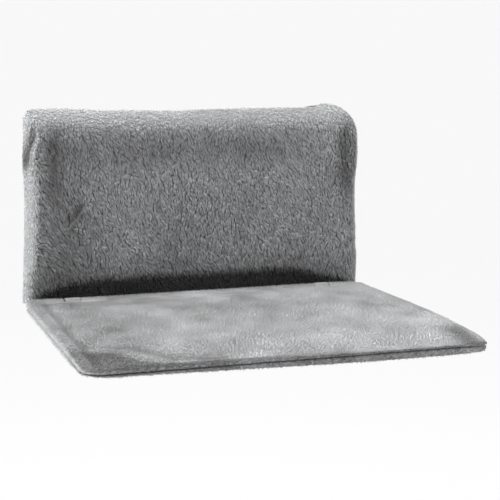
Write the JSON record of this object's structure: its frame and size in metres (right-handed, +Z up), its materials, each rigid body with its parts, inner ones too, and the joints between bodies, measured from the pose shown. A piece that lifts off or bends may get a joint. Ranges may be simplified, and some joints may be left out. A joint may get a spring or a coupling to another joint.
{
  "type": "radiator cat bed",
  "caption": "Padded pet bed that hangs over a radiator's top edge on adjustable hooks, with a plush back against the radiator and a level plush platform that folds up.",
  "frame": {"origin": "middle of the radiator's top front edge, level with the undersides of the hook brackets and with the rear faces of the bumpers", "axes": "+X to the right of someone facing the bed, +Y from the room into the radiator, so the platform reaches out along -Y, +Z up"},
  "size_m": [0.464, 0.5053, 0.2916],
  "materials": {
    "back_plush": "long soft pile",
    "platform_plush": "short velvety pile",
    "lining": "plain woven lining",
    "foam": "soft foam",
    "board": "hardboard",
    "frame_paint": "satin graphite",
    "zinc": "zinc plated",
    "rubber": "matte",
    "nylon": "black nylon",
    "knob_plastic": "textured",
    "zip_tape": "woven tape",
    "zip_nylon": "nylon coil"
  },
  "bodies": {
    "back": {"back_frame": "frame_paint", "back_wire_1": "frame_paint", "back_wire_2": "frame_paint", "back_wire_3": "frame_paint", "back_wire_4": "frame_paint", "back_pad": "foam", "foam_sleeve_left": "foam", "foam_sleeve_right": "foam", "foam_sleeve_top": "foam", "back_cover_front": "back_plush", "back_cover_rear": "lining", "hook_bracket_left": "zinc", "hook_bracket_right": "zinc", "clamp_stud_left": "zinc", "clamp_stud_right": "zinc", "hinge_bracket_left": "frame_paint", "hinge_bracket_right": "frame_paint", "pivot_bush_left_a": "nylon", "pivot_bush_left_b": "nylon", "pivot_bush_right_a": "nylon", "pivot_bush_right_b": "nylon", "wall_bumper_left": "rubber", "wall_bumper_right": "rubber"},
    "hook_left": {"hook_left": "zinc", "hook_tip_left": "rubber"},
    "hook_right": {"hook_right": "zinc", "hook_tip_right": "rubber"},
    "knob_left": {"clamp_washer_left": "zinc", "knob_left": "knob_plastic"},
    "knob_right": {"clamp_washer_right": "zinc", "knob_right": "knob_plastic"},
    "platform": {"platform_frame": "frame_paint", "platform_wire_1": "frame_paint", "platform_wire_2": "frame_paint", "platform_wire_3": "frame_paint", "platform_wire_4": "frame_paint", "platform_wire_5": "frame_paint", "platform_board": "board", "platform_foam": "foam", "stop_lever_left": "frame_paint", "stop_lever_right": "frame_paint", "platform_cover_top": "platform_plush", "platform_cover_bottom": "platform_plush", "zip_tape": "zip_tape", "zip_chain": "zip_nylon"},
    "zip_slider": {"zip_slider": "zinc"},
    "zip_puller": {"zip_puller": "zinc"}
  },
  "joints": [
    {"name": "platform_fold", "type": "hinge", "parent": "back", "child": "platform", "pos_m": [0, -0.0414, -0.2215], "axis": [-1, 0, 0], "range_deg": [0, 80]},
    {"name": "hook_left_slide", "type": "slide", "parent": "back", "child": "hook_left", "axis": [0, 1, 0], "range_m": [-0.02, 0.02]},
    {"name": "hook_right_slide", "type": "slide", "parent": "back", "child": "hook_right", "axis": [0, 1, 0], "range_m": [-0.02, 0.02]},
    {"name": "knob_left_turn", "type": "hinge", "parent": "back", "child": "knob_left", "pos_m": [-0.13, 0.05, 0.0081], "axis": [0, 0, 1], "continuous": true},
    {"name": "knob_right_turn", "type": "hinge", "parent": "back", "child": "knob_right", "pos_m": [0.13, 0.05, 0.0081], "axis": [0, 0, 1], "continuous": true},
    {"name": "zip_slide", "type": "slide", "parent": "platform", "child": "zip_slider", "axis": [-1, 0, 0], "range_m": [0, 0.3]},
    {"name": "puller_swing", "type": "hinge", "parent": "zip_slider", "child": "zip_puller", "pos_m": [0.15, -0.072, -0.2328], "axis": [0, 1, 0], "range_deg": [-80, 80]}
  ]
}
